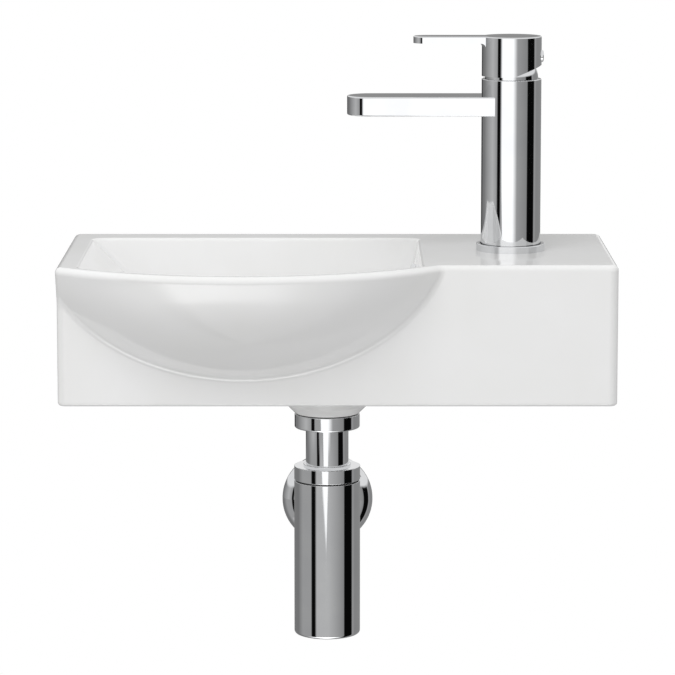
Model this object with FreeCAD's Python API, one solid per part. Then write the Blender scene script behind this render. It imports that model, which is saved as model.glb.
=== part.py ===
import FreeCAD, Part
import math
import os
from FreeCAD import Vector

# Wall hung cloakroom basin with its mixer tap, click waste and bottle trap. Millimetres.
# Origin: on the wall plane, midway between the two wall fixings. +Z is up, -Y comes into the room.
# Sizes called "drop" are measured down from the basin's top plane.

os.makedirs("parts", exist_ok=True)

# --- basin ---------------------------------------------------------------------------------
basin_width = 400.0
block_depth = 180.0
basin_height = 101.6
rim_z = 78.0                 # top plane above the wall fixings
bulge_width = 287.0          # of the bulging bowl where it leaves the flat front, at the rim
bulge_reach = 62.0           # how far it stands out from the flat front
bulge_from_left = 132.6      # its middle, from the block's left side
bulge_depth = 81.5           # below the rim, where it leaves the flat front
bulge_rise = 30.0            # its widest level would lie this far above the rim
crease_radius = 6.0          # soft hollow where the bulge meets the flat front
corner_radius = 6.0
top_edge_radius = 4.0
base_edge_radius = 2.5
wall = 11.0                  # ceramic thickness of block, deck and bowl
front_rim = 11.5
front_wall_gain = 0.6        # the bowl's front curve is this much shallower than the bulge's
left_rim = 16.0
back_rim = 29.0
bowl_square_depth = 50.0     # its back corners are upright to here, and turn in below
bowl_short_of_bulge = 16.0   # the bowl's right wall, from where the bulge ends
left_slope = 45.0            # degrees, the bowl's left side
bowl_draft = 10.0            # degrees, its back and right sides
floor_above_base = 21.6      # bowl floor at the waste
floor_radius = 330.0         # dish of the floor towards the waste
bowl_edge_radius = 9.0
inner_edge_radius = 3.0

# --- wall fixings --------------------------------------------------------------------------
fixing_from_side = 60.0
fixing_hole_radius = 7.0
bolt_radius = 5.0
bolt_wall_radius = 5.25      # the coarse thread that is screwed into the wall
bolt_into_wall = 60.0
bolt_step = 2.0              # the wall thread starts this far behind the wall's face
bolt_point = 12.0
bolt_tip_radius = 1.0
sleeve_gap = 0.2
sleeve_flange_radius = 11.0
sleeve_flange = 2.0
fixing_washer_radius = 12.0
fixing_washer = 2.0
fixing_nut_flats = 17.0
fixing_nut_height = 8.0
bolt_past_nut = 5.0

# --- overflow ------------------------------------------------------------------------------
overflow_drop = 24.0
overflow_hole_radius = 9.0
overflow_flange_width = 3.0
overflow_flange = 3.5
overflow_flange_round = 1.4
overflow_sleeve = 8.0
overflow_wall = 1.7
duct_radius = 5.0            # the passage down the right wall
duct_from_bowl = 11.9
duct_wall = 5.0
under_duct_radius = 4.0      # its lower run to the waste
under_duct_above_base = 7.6

# --- waste ---------------------------------------------------------------------------------
waste_from_bulge = 59.7      # to the right of the middle of the bulge
waste_y = -84.0
boss_radius = 30.0
boss_taper = 6.0
boss_below_base = 21.2
boss_below_seat = 1.0
tail_radius = 20.95
tail_wall = 2.45
waste_hole_gap = 0.55
waste_flange_radius = 31.5
waste_flange = 2.8
waste_flange_round = 1.3
waste_seal = 0.8
seat_gap = 1.0
seat_depth = 1.5
chamber_gap = 4.55           # room round the tail for the overflow's water
chamber_below_floor = 8.0
chamber_above_boss = 10.8
waste_slot_width = 12.0
waste_slot_height = 12.0
waste_slot_below_chamber = 3.0
spider_height = 6.0
spider_arm = 2.5
hub_radius = 7.5
click_stud_radius = 3.0
click_radius = 7.0
click_wall = 1.8
click_below_floor = 2.0
click_lid = 2.0
plug_inset = 2.5             # the plug's edge from the flange's edge
plug_thickness = 4.4
plug_round = 2.4
plug_seal = 1.0
plug_seal_width = 3.0
plug_travel = 8.0
stem_radius = 3.0
stem_shoulder = 3.0
spring_wall = 1.2

# --- trap ----------------------------------------------------------------------------------
tube_radius = 15.875
tube_wall = 1.2
joint_gap = 0.7              # rubber ring between boss and inlet nut
joint_ring_inset = 1.0
inlet_nut_wall = 3.25
inlet_nut_height = 10.6
inlet_nut_floor = 2.6
inlet_seal = 1.3
tube_flange = 1.2
tube_flange_inset = 0.45
tube_shown = 28.8            # between the inlet nut and the trap's cap
trap_radius = 24.5
cap_height = 10.3
cap_lip = 1.6
cap_lip_width = 1.725
cap_roof = 3.1
cap_wall = 3.1
seam = 1.0
seam_inset = 0.9
neck_wall = 2.0
neck_height = 3.2
trap_height = 116.1
trap_wall = 2.3
trap_bottom_round = 2.2
trap_edge_round = 0.6
tube_above_bottom = 35.3     # the dip tube's end inside the trap
outlet_above_bottom = 85.3
socket_wall = 3.025
socket_length = 36.0         # from the trap's axis
outlet_nut_wall = 3.4
outlet_nut_length = 15.0
outlet_nut_floor = 3.0
outlet_seal_length = 4.0
outlet_insert = 10.0         # how far the outlet tube enters the socket
outlet_into_wall = 40.0
outlet_mark = 1.0            # ring groove that shows how far the tube goes into the wall
outlet_mark_depth = 0.4
rosette_radius = 34.6
rosette_depth = 14.0
rosette_edge = 3.5
rosette_sheet = 1.5
rosette_collar = 2.4
rosette_bulge = 0.22         # shape of its shoulder, as shares of its depth
rosette_swell = 0.42

# --- tap -----------------------------------------------------------------------------------
tap_left_of_middle = 3.05    # of the ledge between bowl and right side
tap_from_front = 87.0
tap_hole_radius = 17.5
tap_radius = 21.8
tap_shell = 2.2
tap_height = 126.0
base_ring_width = 3.4
base_ring_height = 5.0
base_ring_floor = 2.5
base_ring_gap = 0.8
base_ring_round = 0.5
base_ring_overlap = 0.5      # how far it reaches in over the tap hole
base_seal = 1.2
base_seal_inset = 1.7
base_seal_from_hole = 1.0
spout_width = 35.4
spout_thickness = 14.1
spout_below_top = 26.4
spout_reach = 120.0          # from the tap's axis to the tip
spout_wall = 2.8
spout_round = 1.0
tap_top_round = 0.5
aerator_radius = 11.0
aerator_length = 7.0
aerator_recess = 0.4
aerator_wall = 1.8
insert_recess = 1.0
aerator_hole_radius = 0.75
aerator_hole_pitch = 2.2
handle_gap = 2.0
handle_height = 29.1
handle_wall = 1.6
handle_roof = 9.6
handle_round = 0.8
handle_cut_slope = 20.6      # degrees, clears the back of the cap when the lever is lifted
lever_reach = 71.7
lever_width = 20.0
lever_thickness = 5.1
lever_fillet = 3.0
handle_hub_radius = 6.5
handle_hub_length = 8.0
index_below_top = 14.7
index_radius = 4.4
index_proud = 1.35
index_round = 0.95
index_shank = 2.8
grub_radius = 1.95
grub_length = 3.1
grub_socket = 0.9
spindle_side = 6.0
spindle_neck = 2.0
spindle_ball = 3.0
spindle_cover = 3.8          # metal of the cap above the spindle
spindle_below_pivot = 4.0
pivot_pin_radius = 1.5
pin_below_face = 0.6
dome_sheet = 1.2
dome_opening = 13.5
block_foot_height = 13.5
block_stem_radius = 14.0
block_cup_wall = 1.8
block_below_top = 1.5
block_flange_height = 12.5
port_radius = 4.5            # supply ports in the foot, hot at the back and cold in front
port_depth = 12.0
port_side = 8.0              # from the tap's axis, across the spout
port_ahead = 5.0             # and towards the spout
passage_radius = 2.0
passage_side = 4.2
passage_ahead = 4.2
outlet_passage_radius = 2.4
outlet_passage_back = 4.2
outlet_cross_below_seat = 9.0
cup_foot_below_seat = 9.0
seal_groove = 1.1
seal_height = 2.0
cartridge_radius = 14.5
cartridge_wall = 1.8
cartridge_floor = 1.5
cartridge_lid = 2.0
disc_thickness = 3.0
moving_disc_radius = 8.7
disc_recess = 1.2            # the channel under the moving disc that joins the passages
disc_recess_ahead = 0.3
disc_recess_back = 6.6
disc_recess_side = 6.0
carrier_radius = 7.4
carrier_height = 16.5
pocket_radius = 3.4
pocket_depth = 5.5
ball_above_pocket = 0.5
rotor_flange_radius = 11.6
rotor_flange = 1.7
rotor_radius = 8.4
rotor_above_pivot = 5.0
rotor_slot = 6.6
rotor_lift = 0.2             # rotor's clearance over the disc's carrier
cartridge_nut_height = 4.0
nut_proud = 0.5
stud_radius = 4.0
stud_back = 10.5             # from the tap's axis, away from the spout
stud_depth = 10.0
stud_length = 55.0
horseshoe_radius = 24.0
horseshoe_inset = 1.0        # the steel plate is smaller than the rubber one
horseshoe_slot = 27.0
horseshoe_slot_back = 3.0
horseshoe_rubber = 3.0
horseshoe_steel = 2.5
stud_nut_flats = 13.0
stud_nut_height = 8.0

# --- clearances ----------------------------------------------------------------------------
running = 0.05               # pivot pin in its hole
sliding = 0.1                # parts that turn or slide on each other
fitted = 0.1                 # parts that are screwed or pushed together
loose = 0.4                  # a part that hangs free in its guide
block_gap = 0.3              # valve block in the tap's tube
dome_gap = 0.2
touch = basin_width / 40000  # edges and planes closer than this are the same

# --- places that follow from the sizes -----------------------------------------------------
over_run = block_depth / 9   # how far cutting shapes run past the surface they cut
deck_z = rim_z
base_z = rim_z - basin_height
left_x = -basin_width / 2
right_x = basin_width / 2
bulge_rim_radius = (bulge_width * bulge_width / 4 + bulge_reach * bulge_reach) / (2 * bulge_reach)
bulge_back = bulge_rim_radius - bulge_reach
bulge_low = bulge_rise + bulge_depth
bulge_share = (bulge_rim_radius * bulge_low) ** 2 - (bulge_back * bulge_rise) ** 2
bulge_radius = math.sqrt(bulge_share / (bulge_low ** 2 - bulge_rise ** 2))
bulge_drop = math.sqrt(bulge_share / (bulge_rim_radius ** 2 - bulge_back ** 2))
bulge_x = left_x + bulge_from_left
bulge_y = bulge_back - block_depth
bowl_right_x = bulge_x + bulge_width / 2 - bowl_short_of_bulge
floor_z = base_z + floor_above_base
duct_x = bowl_right_x + duct_from_bowl
under_duct_z = base_z + under_duct_above_base
waste_x = bulge_x + waste_from_bulge
waste_hole_radius = tail_radius + waste_hole_gap
seat_radius = waste_flange_radius + seat_gap
chamber_radius = tail_radius + chamber_gap
boss_z = base_z - boss_below_base
chamber_top_z = floor_z - chamber_below_floor
chamber_z = boss_z + chamber_above_boss
seat_z = floor_z - seat_depth
flange_top_z = seat_z + waste_seal + waste_flange
plug_bottom_z = flange_top_z + plug_seal
plug_radius = waste_flange_radius - plug_inset
spider_z = chamber_z
click_top_z = floor_z - click_below_floor
inlet_nut_radius = tail_radius + inlet_nut_wall
inlet_top_z = boss_z - joint_gap
inlet_z = inlet_top_z - inlet_nut_height
tail_z = inlet_z + inlet_nut_floor + tube_flange + inlet_seal
cap_top_z = inlet_z - tube_shown
cap_z = cap_top_z - cap_height
body_top_z = cap_z - seam
trap_z = body_top_z - trap_height
neck_radius = trap_radius - cap_wall - fitted
neck_top_z = body_top_z + seam + neck_height
outlet_z = trap_z + outlet_above_bottom
socket_radius = tube_radius + fitted + socket_wall
outlet_nut_radius = socket_radius + fitted + outlet_nut_wall
socket_end_y = waste_y + socket_length
tap_x = (bowl_right_x + right_x) / 2 - tap_left_of_middle
tap_y = tap_from_front - block_depth
tap_top_z = deck_z + tap_height
tap_foot_z = deck_z + base_ring_floor
base_ring_radius = tap_radius + base_ring_width
spout_z = tap_top_z - spout_below_top
spout_tip_x = tap_x - spout_reach
aerator_x = spout_tip_x + spout_width / 2
aerator_z = spout_z + aerator_recess
block_radius = tap_radius - tap_shell - block_gap
block_top_z = tap_top_z - block_below_top
pivot_z = tap_top_z
handle_z = tap_top_z + handle_gap
handle_top_z = handle_z + handle_height
index_z = handle_top_z - index_below_top
hub_z = handle_top_z - handle_roof - handle_hub_length
dome_radius = tap_radius - tap_shell - dome_gap
carrier_stack = cartridge_floor + disc_thickness + carrier_height
cartridge_height = carrier_stack + rotor_lift + rotor_flange + sliding + cartridge_lid
cartridge_z = block_top_z + nut_proud - cartridge_nut_height - cartridge_height
cartridge_top_z = cartridge_z + cartridge_height
fixed_disc_z = cartridge_z + cartridge_floor
moving_disc_z = fixed_disc_z + disc_thickness
carrier_top_z = moving_disc_z + carrier_height
rotor_z = carrier_top_z + rotor_lift
ball_z = carrier_top_z - pocket_depth + ball_above_pocket + spindle_ball
fixing_places = [left_x + fixing_from_side, right_x - fixing_from_side]
sleeve_radius = fixing_hole_radius - sleeve_gap
sleeve_y = -wall - sleeve_flange
washer_y = sleeve_y - fixing_washer
fixing_nut_y = washer_y - fixing_nut_height
plate_z = deck_z - wall - horseshoe_rubber - horseshoe_steel


# --- shapes shared by several pieces -------------------------------------------------------
def rod(x, y, low_z, high_z, radius):
    return Part.makeCylinder(radius, high_z - low_z, Vector(x, y, low_z))


def rod_along(axis, start, length, radius):
    return Part.makeCylinder(radius, length, start, axis)


def sleeve(x, y, low_z, high_z, outer_radius, inner_radius):
    return rod(x, y, low_z, high_z, outer_radius).cut(rod(x, y, low_z, high_z, inner_radius))


def block(low_x, high_x, low_y, high_y, low_z, high_z):
    return Part.makeBox(high_x - low_x, high_y - low_y, high_z - low_z, Vector(low_x, low_y, low_z))


def turned(profile, x, y):
    """A ring or solid turned about the upright line through x, y from (radius, height) points."""
    points = [Vector(x + radius, y, z) for radius, z in profile]
    face = Part.Face(Part.makePolygon(points + [points[0]]))
    return face.revolve(Vector(x, y, 0), Vector(0, 0, 1), 360)


def hexagon(x, y, low_z, height, flats):
    corner = flats / math.sqrt(3)
    points = []
    for i in range(7):
        turn = math.radians(60 * i)
        points.append(Vector(x + corner * math.cos(turn), y + corner * math.sin(turn), low_z))
    return Part.Face(Part.makePolygon(points)).extrude(Vector(0, 0, height))


def rings_at(shape, z, radius):
    """The circular edges of one radius at one height."""
    found = []
    for edge in shape.Edges:
        box = edge.BoundBox
        flat = abs(box.ZMax - z) < 0.001 and abs(box.ZMin - z) < 0.001
        if flat and abs(box.XLength - 2 * radius) < 0.01 and abs(box.YLength - 2 * radius) < 0.01:
            found.append(edge)
    return found


def softened(shape, z, radius, round_radius):
    return shape.makeFillet(round_radius, rings_at(shape, z, radius))


def slot_plan(low_x, high_x, y, width, low_z, high_z):
    """A flat bar with a half round end at low_x and a square end at high_x."""
    end_x = low_x + width / 2
    bar = block(end_x, high_x, y - width / 2, y + width / 2, low_z, high_z)
    return bar.fuse(rod(end_x, y, low_z, high_z, width / 2)).removeSplitter()


def save(shape, node):
    shape.exportStep("parts/" + node + ".step")


# --- basin ---------------------------------------------------------------------------------
def bulge(radius, drop):
    """The lower part of an oblate round about the bulge's upright axis, up to just past the rim."""
    top_z = rim_z + over_run
    centre = Vector(bulge_x, bulge_y, rim_z + bulge_rise)
    bottom = centre - Vector(0, 0, drop)
    curve = Part.Ellipse(centre + Vector(0, radius, 0), bottom, centre)
    top_turn = math.asin((bulge_rise - over_run) / drop)
    top_edge = centre + Vector(0, radius * math.cos(top_turn), -drop * math.sin(top_turn))
    edges = [
        Part.ArcOfEllipse(curve, top_turn, math.pi / 2).toShape(),
        Part.makeLine(bottom, Vector(bulge_x, bulge_y, top_z)),
        Part.makeLine(Vector(bulge_x, bulge_y, top_z), top_edge),
    ]
    return Part.Face(Part.Wire(edges)).revolve(centre, Vector(0, 0, 1), 360)


def outer_form():
    """The block with the bulging bowl front, all outer edges rounded."""
    spare = 2 * bulge_radius
    wide_x = left_x - spare
    form = block(wide_x, right_x, -block_depth, 0, base_z, rim_z + over_run)
    form = form.fuse(bulge(bulge_radius, bulge_drop))
    form = form.cut(block(wide_x, spare, -spare, spare, base_z - spare, base_z)).removeSplitter()
    crease = []
    for edge in form.Edges:
        box = edge.BoundBox
        on_front = abs(box.YMin + block_depth) < touch and abs(box.YMax + block_depth) < touch
        inside = box.XMin > wide_x + touch and box.XMax < right_x - touch
        if on_front and inside and box.ZLength > touch:
            crease.append(edge)
    form = form.makeFillet(crease_radius, crease)
    form = form.cut(block(wide_x - spare, left_x, -spare, spare, base_z - spare, rim_z + spare))
    form = form.cut(block(-spare, spare, 0, spare, base_z - spare, rim_z + spare))
    form = form.cut(block(-spare, spare, -spare, spare, rim_z, rim_z + spare))
    form = form.removeSplitter()
    corners = []
    for edge in form.Edges:
        box = edge.BoundBox
        at_side = min(abs(box.XMin - left_x), abs(box.XMax - right_x)) < touch and box.XLength < touch
        if at_side and box.ZLength > touch:
            corners.append(edge)
    form = form.makeFillet(corner_radius, corners)
    top = [e for e in form.Edges if e.BoundBox.ZMin > rim_z - touch]
    form = form.makeFillet(top_edge_radius, top)
    base = [e for e in form.Edges if e.BoundBox.ZMax < base_z + touch]
    return form.makeFillet(base_edge_radius, base)


def bowl_space(grow, edge_radius):
    """The room inside the bowl, or with grow its outside skin."""
    draft = math.tan(math.radians(bowl_draft))
    lean = grow / math.cos(math.radians(bowl_draft))
    slope = 1 / math.tan(math.radians(left_slope))
    slope_grow = grow / math.sin(math.radians(left_slope))
    top_z = rim_z + over_run
    low_z = floor_z - 2 * over_run

    def left_at(z):
        return left_x + left_rim - slope_grow + (rim_z - z) * slope

    def right_at(z):
        return bowl_right_x + lean - (rim_z - z) * draft

    def back_at(z):
        return -back_rim + lean - (rim_z - z) * draft

    far = -2 * bulge_radius
    across = [(left_at(top_z), top_z), (right_at(top_z), top_z)]
    across += [(right_at(low_z), low_z), (left_at(low_z), low_z)]
    points = [Vector(x, far, z) for x, z in across]
    sides = Part.Face(Part.makePolygon(points + [points[0]])).extrude(Vector(0, -far, 0))
    along = [(back_at(top_z), top_z), (back_at(low_z), low_z), (far, low_z), (far, top_z)]
    points = [Vector(far, y, z) for y, z in along]
    depth = Part.Face(Part.makePolygon(points + [points[0]])).extrude(Vector(-2 * far, 0, 0))
    dish = Part.makeSphere(floor_radius + grow)
    dish.rotate(Vector(0, 0, 0), Vector(1, 0, 0), 90)
    dish.rotate(Vector(0, 0, 0), Vector(0, 1, 0), -90)
    dish.translate(Vector(waste_x, waste_y, floor_z + floor_radius))
    front = bulge(bulge_radius - front_rim + grow, bulge_drop - front_wall_gain + grow)
    square_z = rim_z - bowl_square_depth
    front = front.fuse(block(far, -far, bulge_y, -far, square_z, top_z))
    room = sides.common(depth).common(front).common(dish).removeSplitter()
    edges = [e for e in room.Edges if e.BoundBox.ZMin < top_z - touch]
    return room.makeFillet(edge_radius, edges)


def boss_form():
    """The round boss below the bowl that the waste is clamped through."""
    top = seat_z - boss_below_seat
    profile = [(0, top), (boss_radius, top), (boss_radius, boss_z + boss_taper)]
    profile += [(boss_radius - boss_taper, boss_z), (0, boss_z)]
    return turned(profile, waste_x, waste_y)


def duct_form():
    """Ceramic round the overflow passage: an upright rib on the right wall and a run to the boss."""
    half = duct_radius + duct_wall
    top = under_duct_z + under_duct_radius + duct_wall / 2
    upright = rod(duct_x, waste_y, base_z, rim_z - wall / 2, half)
    return upright.fuse(block(waste_x, duct_x, waste_y - half, waste_y + half, base_z, top))


def under_space():
    """The open hollow below, beside and behind the bowl, without the ribs that stay in it."""
    front_y = wall - block_depth
    hollow = block(left_x + wall, right_x - wall, front_y, -wall, base_z - over_run, rim_z - wall)
    upright = [e for e in hollow.Edges if e.BoundBox.ZLength > touch]
    hollow = hollow.makeFillet(corner_radius, upright)
    hollow = hollow.cut(bowl_space(wall, bowl_edge_radius + wall))
    hollow = hollow.cut(boss_form())
    return hollow.cut(duct_form())


def overflow_frame():
    """A point on the bowl's right wall at the overflow, and the wall's normal into the bowl."""
    lean = math.radians(bowl_draft)
    point = Vector(bowl_right_x - overflow_drop * math.tan(lean), waste_y, rim_z - overflow_drop)
    return point, Vector(-math.cos(lean), 0, math.sin(lean))


def duct_space():
    point, normal = overflow_frame()
    reach = (duct_x - point.x) / math.cos(math.radians(bowl_draft))
    mouth = rod_along(normal * -1, point + normal * duct_wall, reach + duct_wall, overflow_hole_radius)
    low_z = under_duct_z - duct_radius
    upright = rod(duct_x, waste_y, low_z, rim_z - wall - duct_wall, duct_radius)
    start = Vector(waste_x, waste_y, under_duct_z)
    low = rod_along(Vector(1, 0, 0), start, duct_x - waste_x, under_duct_radius)
    return mouth.fuse(upright).fuse(low)


def waste_space():
    seat = rod(waste_x, waste_y, seat_z, rim_z, seat_radius)
    hole = rod(waste_x, waste_y, boss_z - over_run, rim_z, waste_hole_radius)
    chamber = rod(waste_x, waste_y, chamber_z, chamber_top_z, chamber_radius)
    return seat.fuse(hole).fuse(chamber)


def basin():
    body = outer_form().fuse(boss_form())
    body = body.cut(under_space())
    body = body.cut(bowl_space(0, bowl_edge_radius))
    front_y = bulge_y - bulge_radius
    inner = []
    for edge in body.Edges:
        box = edge.BoundBox
        across = box.XMin > left_x + left_rim / 2 and box.XMax < bowl_right_x + wall / 2
        along = box.YMin > front_y + front_rim / 2 and box.YMax < -back_rim / 2
        if across and along and box.ZMin > rim_z - touch:
            inner.append(edge)
    body = body.makeFillet(inner_edge_radius, inner)
    body = body.cut(waste_space()).cut(duct_space())
    body = body.cut(rod(tap_x, tap_y, rim_z - 2 * wall, rim_z + over_run, tap_hole_radius))
    for x in fixing_places:
        body = body.cut(along_y(x, -2 * wall, wall, fixing_hole_radius))
    return body


def overflow_ring():
    """Round trim in the bowl's wall, pushed into the mouth of the overflow passage."""
    point, normal = overflow_frame()
    face = point + normal * overflow_flange
    flange = rod_along(normal, point, overflow_flange, overflow_hole_radius + overflow_flange_width)
    front = [e for e in flange.Edges if (e.CenterOfMass - point).dot(normal) > overflow_flange - touch]
    flange = flange.makeFillet(overflow_flange_round, front)
    tail = rod_along(normal * -1, point, overflow_sleeve, overflow_hole_radius - fitted)
    depth = overflow_flange + overflow_sleeve
    bore = rod_along(normal * -1, face, depth, overflow_hole_radius - fitted - overflow_wall)
    return flange.fuse(tail).cut(bore)


# --- wall fixings --------------------------------------------------------------------------
def along_y(x, low_y, high_y, radius):
    return rod_along(Vector(0, 1, 0), Vector(x, low_y, 0), high_y - low_y, radius)


def each_fixing(maker):
    return Part.makeCompound([maker(x) for x in fixing_places])


def hanger_bolt(x):
    """Machine thread for the nut in front, coarser thread and point in the wall."""
    cone_y = bolt_into_wall - bolt_point
    front = along_y(x, fixing_nut_y - bolt_past_nut, bolt_step, bolt_radius)
    rear = along_y(x, bolt_step, cone_y, bolt_wall_radius)
    start = Vector(x, cone_y, 0)
    tip = Part.makeCone(bolt_wall_radius, bolt_tip_radius, bolt_point, start, Vector(0, 1, 0))
    return front.fuse(rear).fuse(tip)


def fixing_sleeve(x):
    body = along_y(x, -wall, 0, sleeve_radius).fuse(along_y(x, sleeve_y, -wall, sleeve_flange_radius))
    return body.cut(along_y(x, sleeve_y, 0, bolt_radius + fitted))


def fixing_washer_ring(x):
    ring = along_y(x, washer_y, sleeve_y, fixing_washer_radius)
    return ring.cut(along_y(x, washer_y, sleeve_y, bolt_radius + fitted))


def fixing_nut(x):
    nut = hexagon(0, 0, 0, fixing_nut_height, fixing_nut_flats)
    nut.rotate(Vector(0, 0, 0), Vector(1, 0, 0), -90)
    nut.translate(Vector(x, fixing_nut_y, 0))
    return nut.cut(along_y(x, fixing_nut_y, washer_y, bolt_radius + fitted))


# --- waste ---------------------------------------------------------------------------------
def waste_rod(low_z, high_z, radius):
    return rod(waste_x, waste_y, low_z, high_z, radius)


def waste_sleeve(low_z, high_z, outer_radius, inner_radius):
    return sleeve(waste_x, waste_y, low_z, high_z, outer_radius, inner_radius)


def waste_body():
    """Flanged tail through the boss, slotted for the overflow's water."""
    bore = tail_radius - tail_wall
    low = flange_top_z - waste_flange
    body = waste_rod(low, flange_top_z, waste_flange_radius)
    body = softened(body, flange_top_z, waste_flange_radius, waste_flange_round)
    body = body.fuse(waste_rod(tail_z, low, tail_radius)).removeSplitter()
    body = body.cut(waste_rod(tail_z, flange_top_z, bore))
    body = softened(body, flange_top_z, bore, waste_flange_round)
    half = waste_slot_width / 2
    top = chamber_top_z - waste_slot_below_chamber
    bottom = top - waste_slot_height
    reach = tail_radius + tail_wall
    body = body.cut(block(waste_x - reach, waste_x + reach, waste_y - half, waste_y + half, bottom, top))
    body = body.cut(block(waste_x - half, waste_x + half, waste_y - reach, waste_y + reach, bottom, top))
    return body.fuse(spider()).removeSplitter()


def spider():
    """Hub on three arms that carries the click cartridge inside the tail."""
    top = spider_z + spider_height
    hub = waste_rod(spider_z, top, hub_radius)
    for turn in (30, 150, 270):
        arm = block(0, tail_radius - tail_wall / 2, -spider_arm / 2, spider_arm / 2, spider_z, top)
        arm.rotate(Vector(0, 0, 0), Vector(0, 0, 1), turn)
        arm.translate(Vector(waste_x, waste_y, 0))
        hub = hub.fuse(arm)
    return hub.cut(waste_rod(spider_z, top, click_stud_radius + fitted))


def waste_top_seal():
    outer = waste_flange_radius - waste_seal
    return waste_sleeve(seat_z, seat_z + waste_seal, outer, tail_radius + 2 * fitted)


def click_cartridge():
    """The latch housing screwed on the spider, with its stud below."""
    bottom = spider_z + spider_height
    lid = click_top_z - click_lid
    body = waste_rod(bottom, click_top_z, click_radius)
    body = body.cut(waste_rod(bottom + click_wall, lid, click_radius - click_wall))
    body = body.cut(waste_rod(lid, click_top_z, stem_radius + sliding))
    return body.fuse(waste_rod(spider_z, bottom, click_stud_radius)).removeSplitter()


def stem_shoulder_z():
    """Underside of the stem's shoulder with the plug closed: the plug's travel below the lid."""
    return click_top_z - click_lid - plug_travel - stem_shoulder


def plug_spring():
    low = spider_z + spider_height + click_wall
    outer = click_radius - click_wall - fitted
    return waste_sleeve(low, stem_shoulder_z(), outer, outer - spring_wall)


def plug_stem():
    low = stem_shoulder_z()
    shoulder = waste_rod(low, low + stem_shoulder, click_radius - click_wall - sliding)
    return shoulder.fuse(waste_rod(low, plug_bottom_z, stem_radius)).removeSplitter()


def waste_plug():
    top = plug_bottom_z + plug_thickness
    return softened(waste_rod(plug_bottom_z, top, plug_radius), top, plug_radius, plug_round)


def plug_seal_ring():
    outer = plug_radius - plug_seal
    return waste_sleeve(flange_top_z, plug_bottom_z, outer, outer - plug_seal_width)


# --- trap ----------------------------------------------------------------------------------
def boss_joint_ring():
    outer = inlet_nut_radius - joint_ring_inset
    return waste_sleeve(inlet_top_z, boss_z, outer, tail_radius + fitted)


def inlet_nut():
    nut = waste_rod(inlet_z, inlet_top_z, inlet_nut_radius)
    nut = softened(nut, inlet_z, inlet_nut_radius, 2 * trap_edge_round)
    nut = softened(nut, inlet_top_z, inlet_nut_radius, trap_edge_round)
    floor = inlet_z + inlet_nut_floor
    nut = nut.cut(waste_rod(floor, inlet_top_z, tail_radius + fitted))
    return nut.cut(waste_rod(inlet_z, floor, tube_radius + fitted))


def inlet_seal_ring():
    outer = tail_radius - tube_flange_inset
    return waste_sleeve(tail_z - inlet_seal, tail_z, outer, tube_radius - tube_wall)


def dip_tube():
    """Inlet tube that hangs from its flange into the water of the bottle."""
    top = tail_z - inlet_seal
    bore = tube_radius - tube_wall
    tube = waste_sleeve(trap_z + tube_above_bottom, top, tube_radius, bore)
    flange = waste_sleeve(top - tube_flange, top, tail_radius - tube_flange_inset, bore)
    return tube.fuse(flange).removeSplitter()


def trap_cap():
    """The ring nut that closes the trap's top, screwed over the neck of its body."""
    lip_z = cap_top_z + cap_lip
    lip_radius = tube_radius + cap_lip_width
    cap = waste_rod(cap_z, cap_top_z, trap_radius)
    cap = softened(cap, cap_top_z, trap_radius, trap_edge_round / 2)
    cap = softened(cap, cap_z, trap_radius, trap_edge_round / 2)
    lip = softened(waste_rod(cap_top_z, lip_z, lip_radius), lip_z, lip_radius, trap_edge_round)
    cap = cap.fuse(lip)
    cap = cap.cut(waste_rod(cap_z, lip_z, tube_radius + fitted))
    return cap.cut(waste_rod(cap_z, cap_top_z - cap_roof, neck_radius + fitted))


def tube_seal():
    return waste_sleeve(neck_top_z, cap_top_z - cap_roof, neck_radius - fitted, tube_radius + fitted)


def seam_ring():
    return waste_sleeve(body_top_z, cap_z, trap_radius - seam_inset, neck_radius + fitted)


def trap_body():
    """The bottle: open neck, deep cup and a socket at the back for the outlet."""
    shoulder_z = body_top_z - trap_wall
    body = waste_rod(trap_z, body_top_z, trap_radius)
    body = softened(body, trap_z, trap_radius, trap_bottom_round)
    body = softened(body, body_top_z, trap_radius, trap_edge_round / 2)
    body = body.fuse(waste_rod(body_top_z, neck_top_z, neck_radius))
    body = body.fuse(outlet_rod(waste_y, socket_end_y, socket_radius))
    body = body.cut(waste_rod(trap_z + trap_wall, shoulder_z, trap_radius - trap_wall))
    body = body.cut(waste_rod(shoulder_z, neck_top_z, neck_radius - neck_wall))
    return body.cut(outlet_rod(waste_y, socket_end_y, tube_radius + fitted))


def outlet_rod(low_y, high_y, radius):
    return rod_along(Vector(0, 1, 0), Vector(waste_x, low_y, outlet_z), high_y - low_y, radius)


def outlet_seal_ring():
    high = socket_end_y + outlet_seal_length
    ring = outlet_rod(socket_end_y, high, socket_radius)
    return ring.cut(outlet_rod(socket_end_y, high, tube_radius + fitted))


def outlet_nut():
    high = socket_end_y + outlet_seal_length + outlet_nut_floor
    low = high - outlet_nut_length
    nut = outlet_rod(low, high, outlet_nut_radius)
    ends = [e for e in nut.Edges if e.BoundBox.YLength < touch]
    nut = nut.makeFillet(trap_edge_round, ends)
    nut = nut.cut(outlet_rod(low, high - outlet_nut_floor, socket_radius + fitted))
    return nut.cut(outlet_rod(low, high, tube_radius + fitted))


def outlet_tube():
    """Tube to the drain, with a turned mark where it enters the wall."""
    low = socket_end_y - outlet_insert
    tube = outlet_rod(low, outlet_into_wall, tube_radius)
    tube = tube.cut(outlet_rod(low, outlet_into_wall, tube_radius - tube_wall))
    mark = outlet_rod(0, outlet_mark, tube_radius)
    return tube.cut(mark.cut(outlet_rod(0, outlet_mark, tube_radius - outlet_mark_depth)))


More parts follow.
